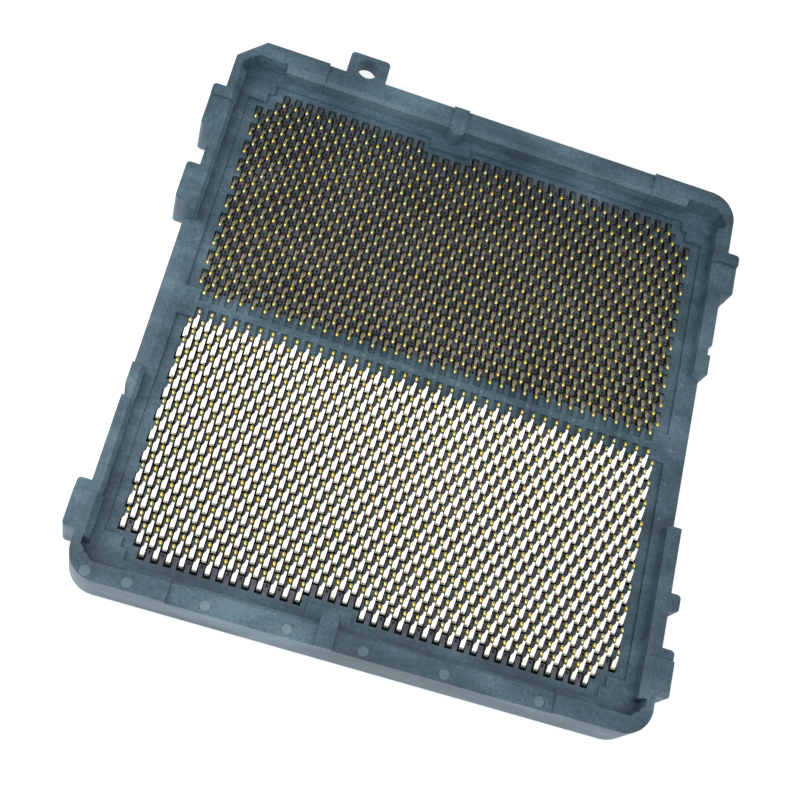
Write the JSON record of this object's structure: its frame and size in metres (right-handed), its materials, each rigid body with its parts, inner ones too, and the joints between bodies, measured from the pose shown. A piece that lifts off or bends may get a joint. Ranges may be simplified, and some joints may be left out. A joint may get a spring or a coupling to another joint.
{
  "type": "ic socket",
  "caption": "Flat square land-grid socket for a chip package: a moulded frame round two banks of sprung contacts, with solder balls underneath.",
  "frame": {"origin": "centre of the contact grid on the circuit board's face, where the solder balls rest", "axes": "+X along the contact rows, +Y towards the lug with the hole, +Z away from the board"},
  "size_m": [0.0444, 0.0472, 0.0045],
  "materials": {
    "housing": "moulded, matte, slightly mottled",
    "contact": "plated, satin",
    "solder": "satin"
  },
  "bodies": {
    "root": {"housing_base": "housing", "housing_end_far": "housing", "housing_end_near": "housing", "housing_side_left": "housing", "housing_side_right": "housing", "contacts_far_01": "contact", "contacts_far_02": "contact", "contacts_far_03": "contact", "contacts_far_04": "contact", "contacts_far_05": "contact", "contacts_far_06": "contact", "contacts_far_07": "contact", "contacts_far_08": "contact", "contacts_far_09": "contact", "contacts_far_10": "contact", "contacts_far_11": "contact", "contacts_near_01": "contact", "contacts_near_02": "contact", "contacts_near_03": "contact", "contacts_near_04": "contact", "contacts_near_05": "contact", "contacts_near_06": "contact", "contacts_near_07": "contact", "contacts_near_08": "contact", "contacts_near_09": "contact", "contacts_near_10": "contact", "contacts_near_11": "contact", "solder_balls_far_01": "solder", "solder_balls_far_02": "solder", "solder_balls_far_03": "solder", "solder_balls_far_04": "solder", "solder_balls_far_05": "solder", "solder_balls_far_06": "solder", "solder_balls_far_07": "solder", "solder_balls_far_08": "solder", "solder_balls_far_09": "solder", "solder_balls_far_10": "solder", "solder_balls_far_11": "solder", "solder_balls_near_01": "solder", "solder_balls_near_02": "solder", "solder_balls_near_03": "solder", "solder_balls_near_04": "solder", "solder_balls_near_05": "solder", "solder_balls_near_06": "solder", "solder_balls_near_07": "solder", "solder_balls_near_08": "solder", "solder_balls_near_09": "solder", "solder_balls_near_10": "solder", "solder_balls_near_11": "solder", "solder_balls_corner": "solder"}
  },
  "joints": []
}
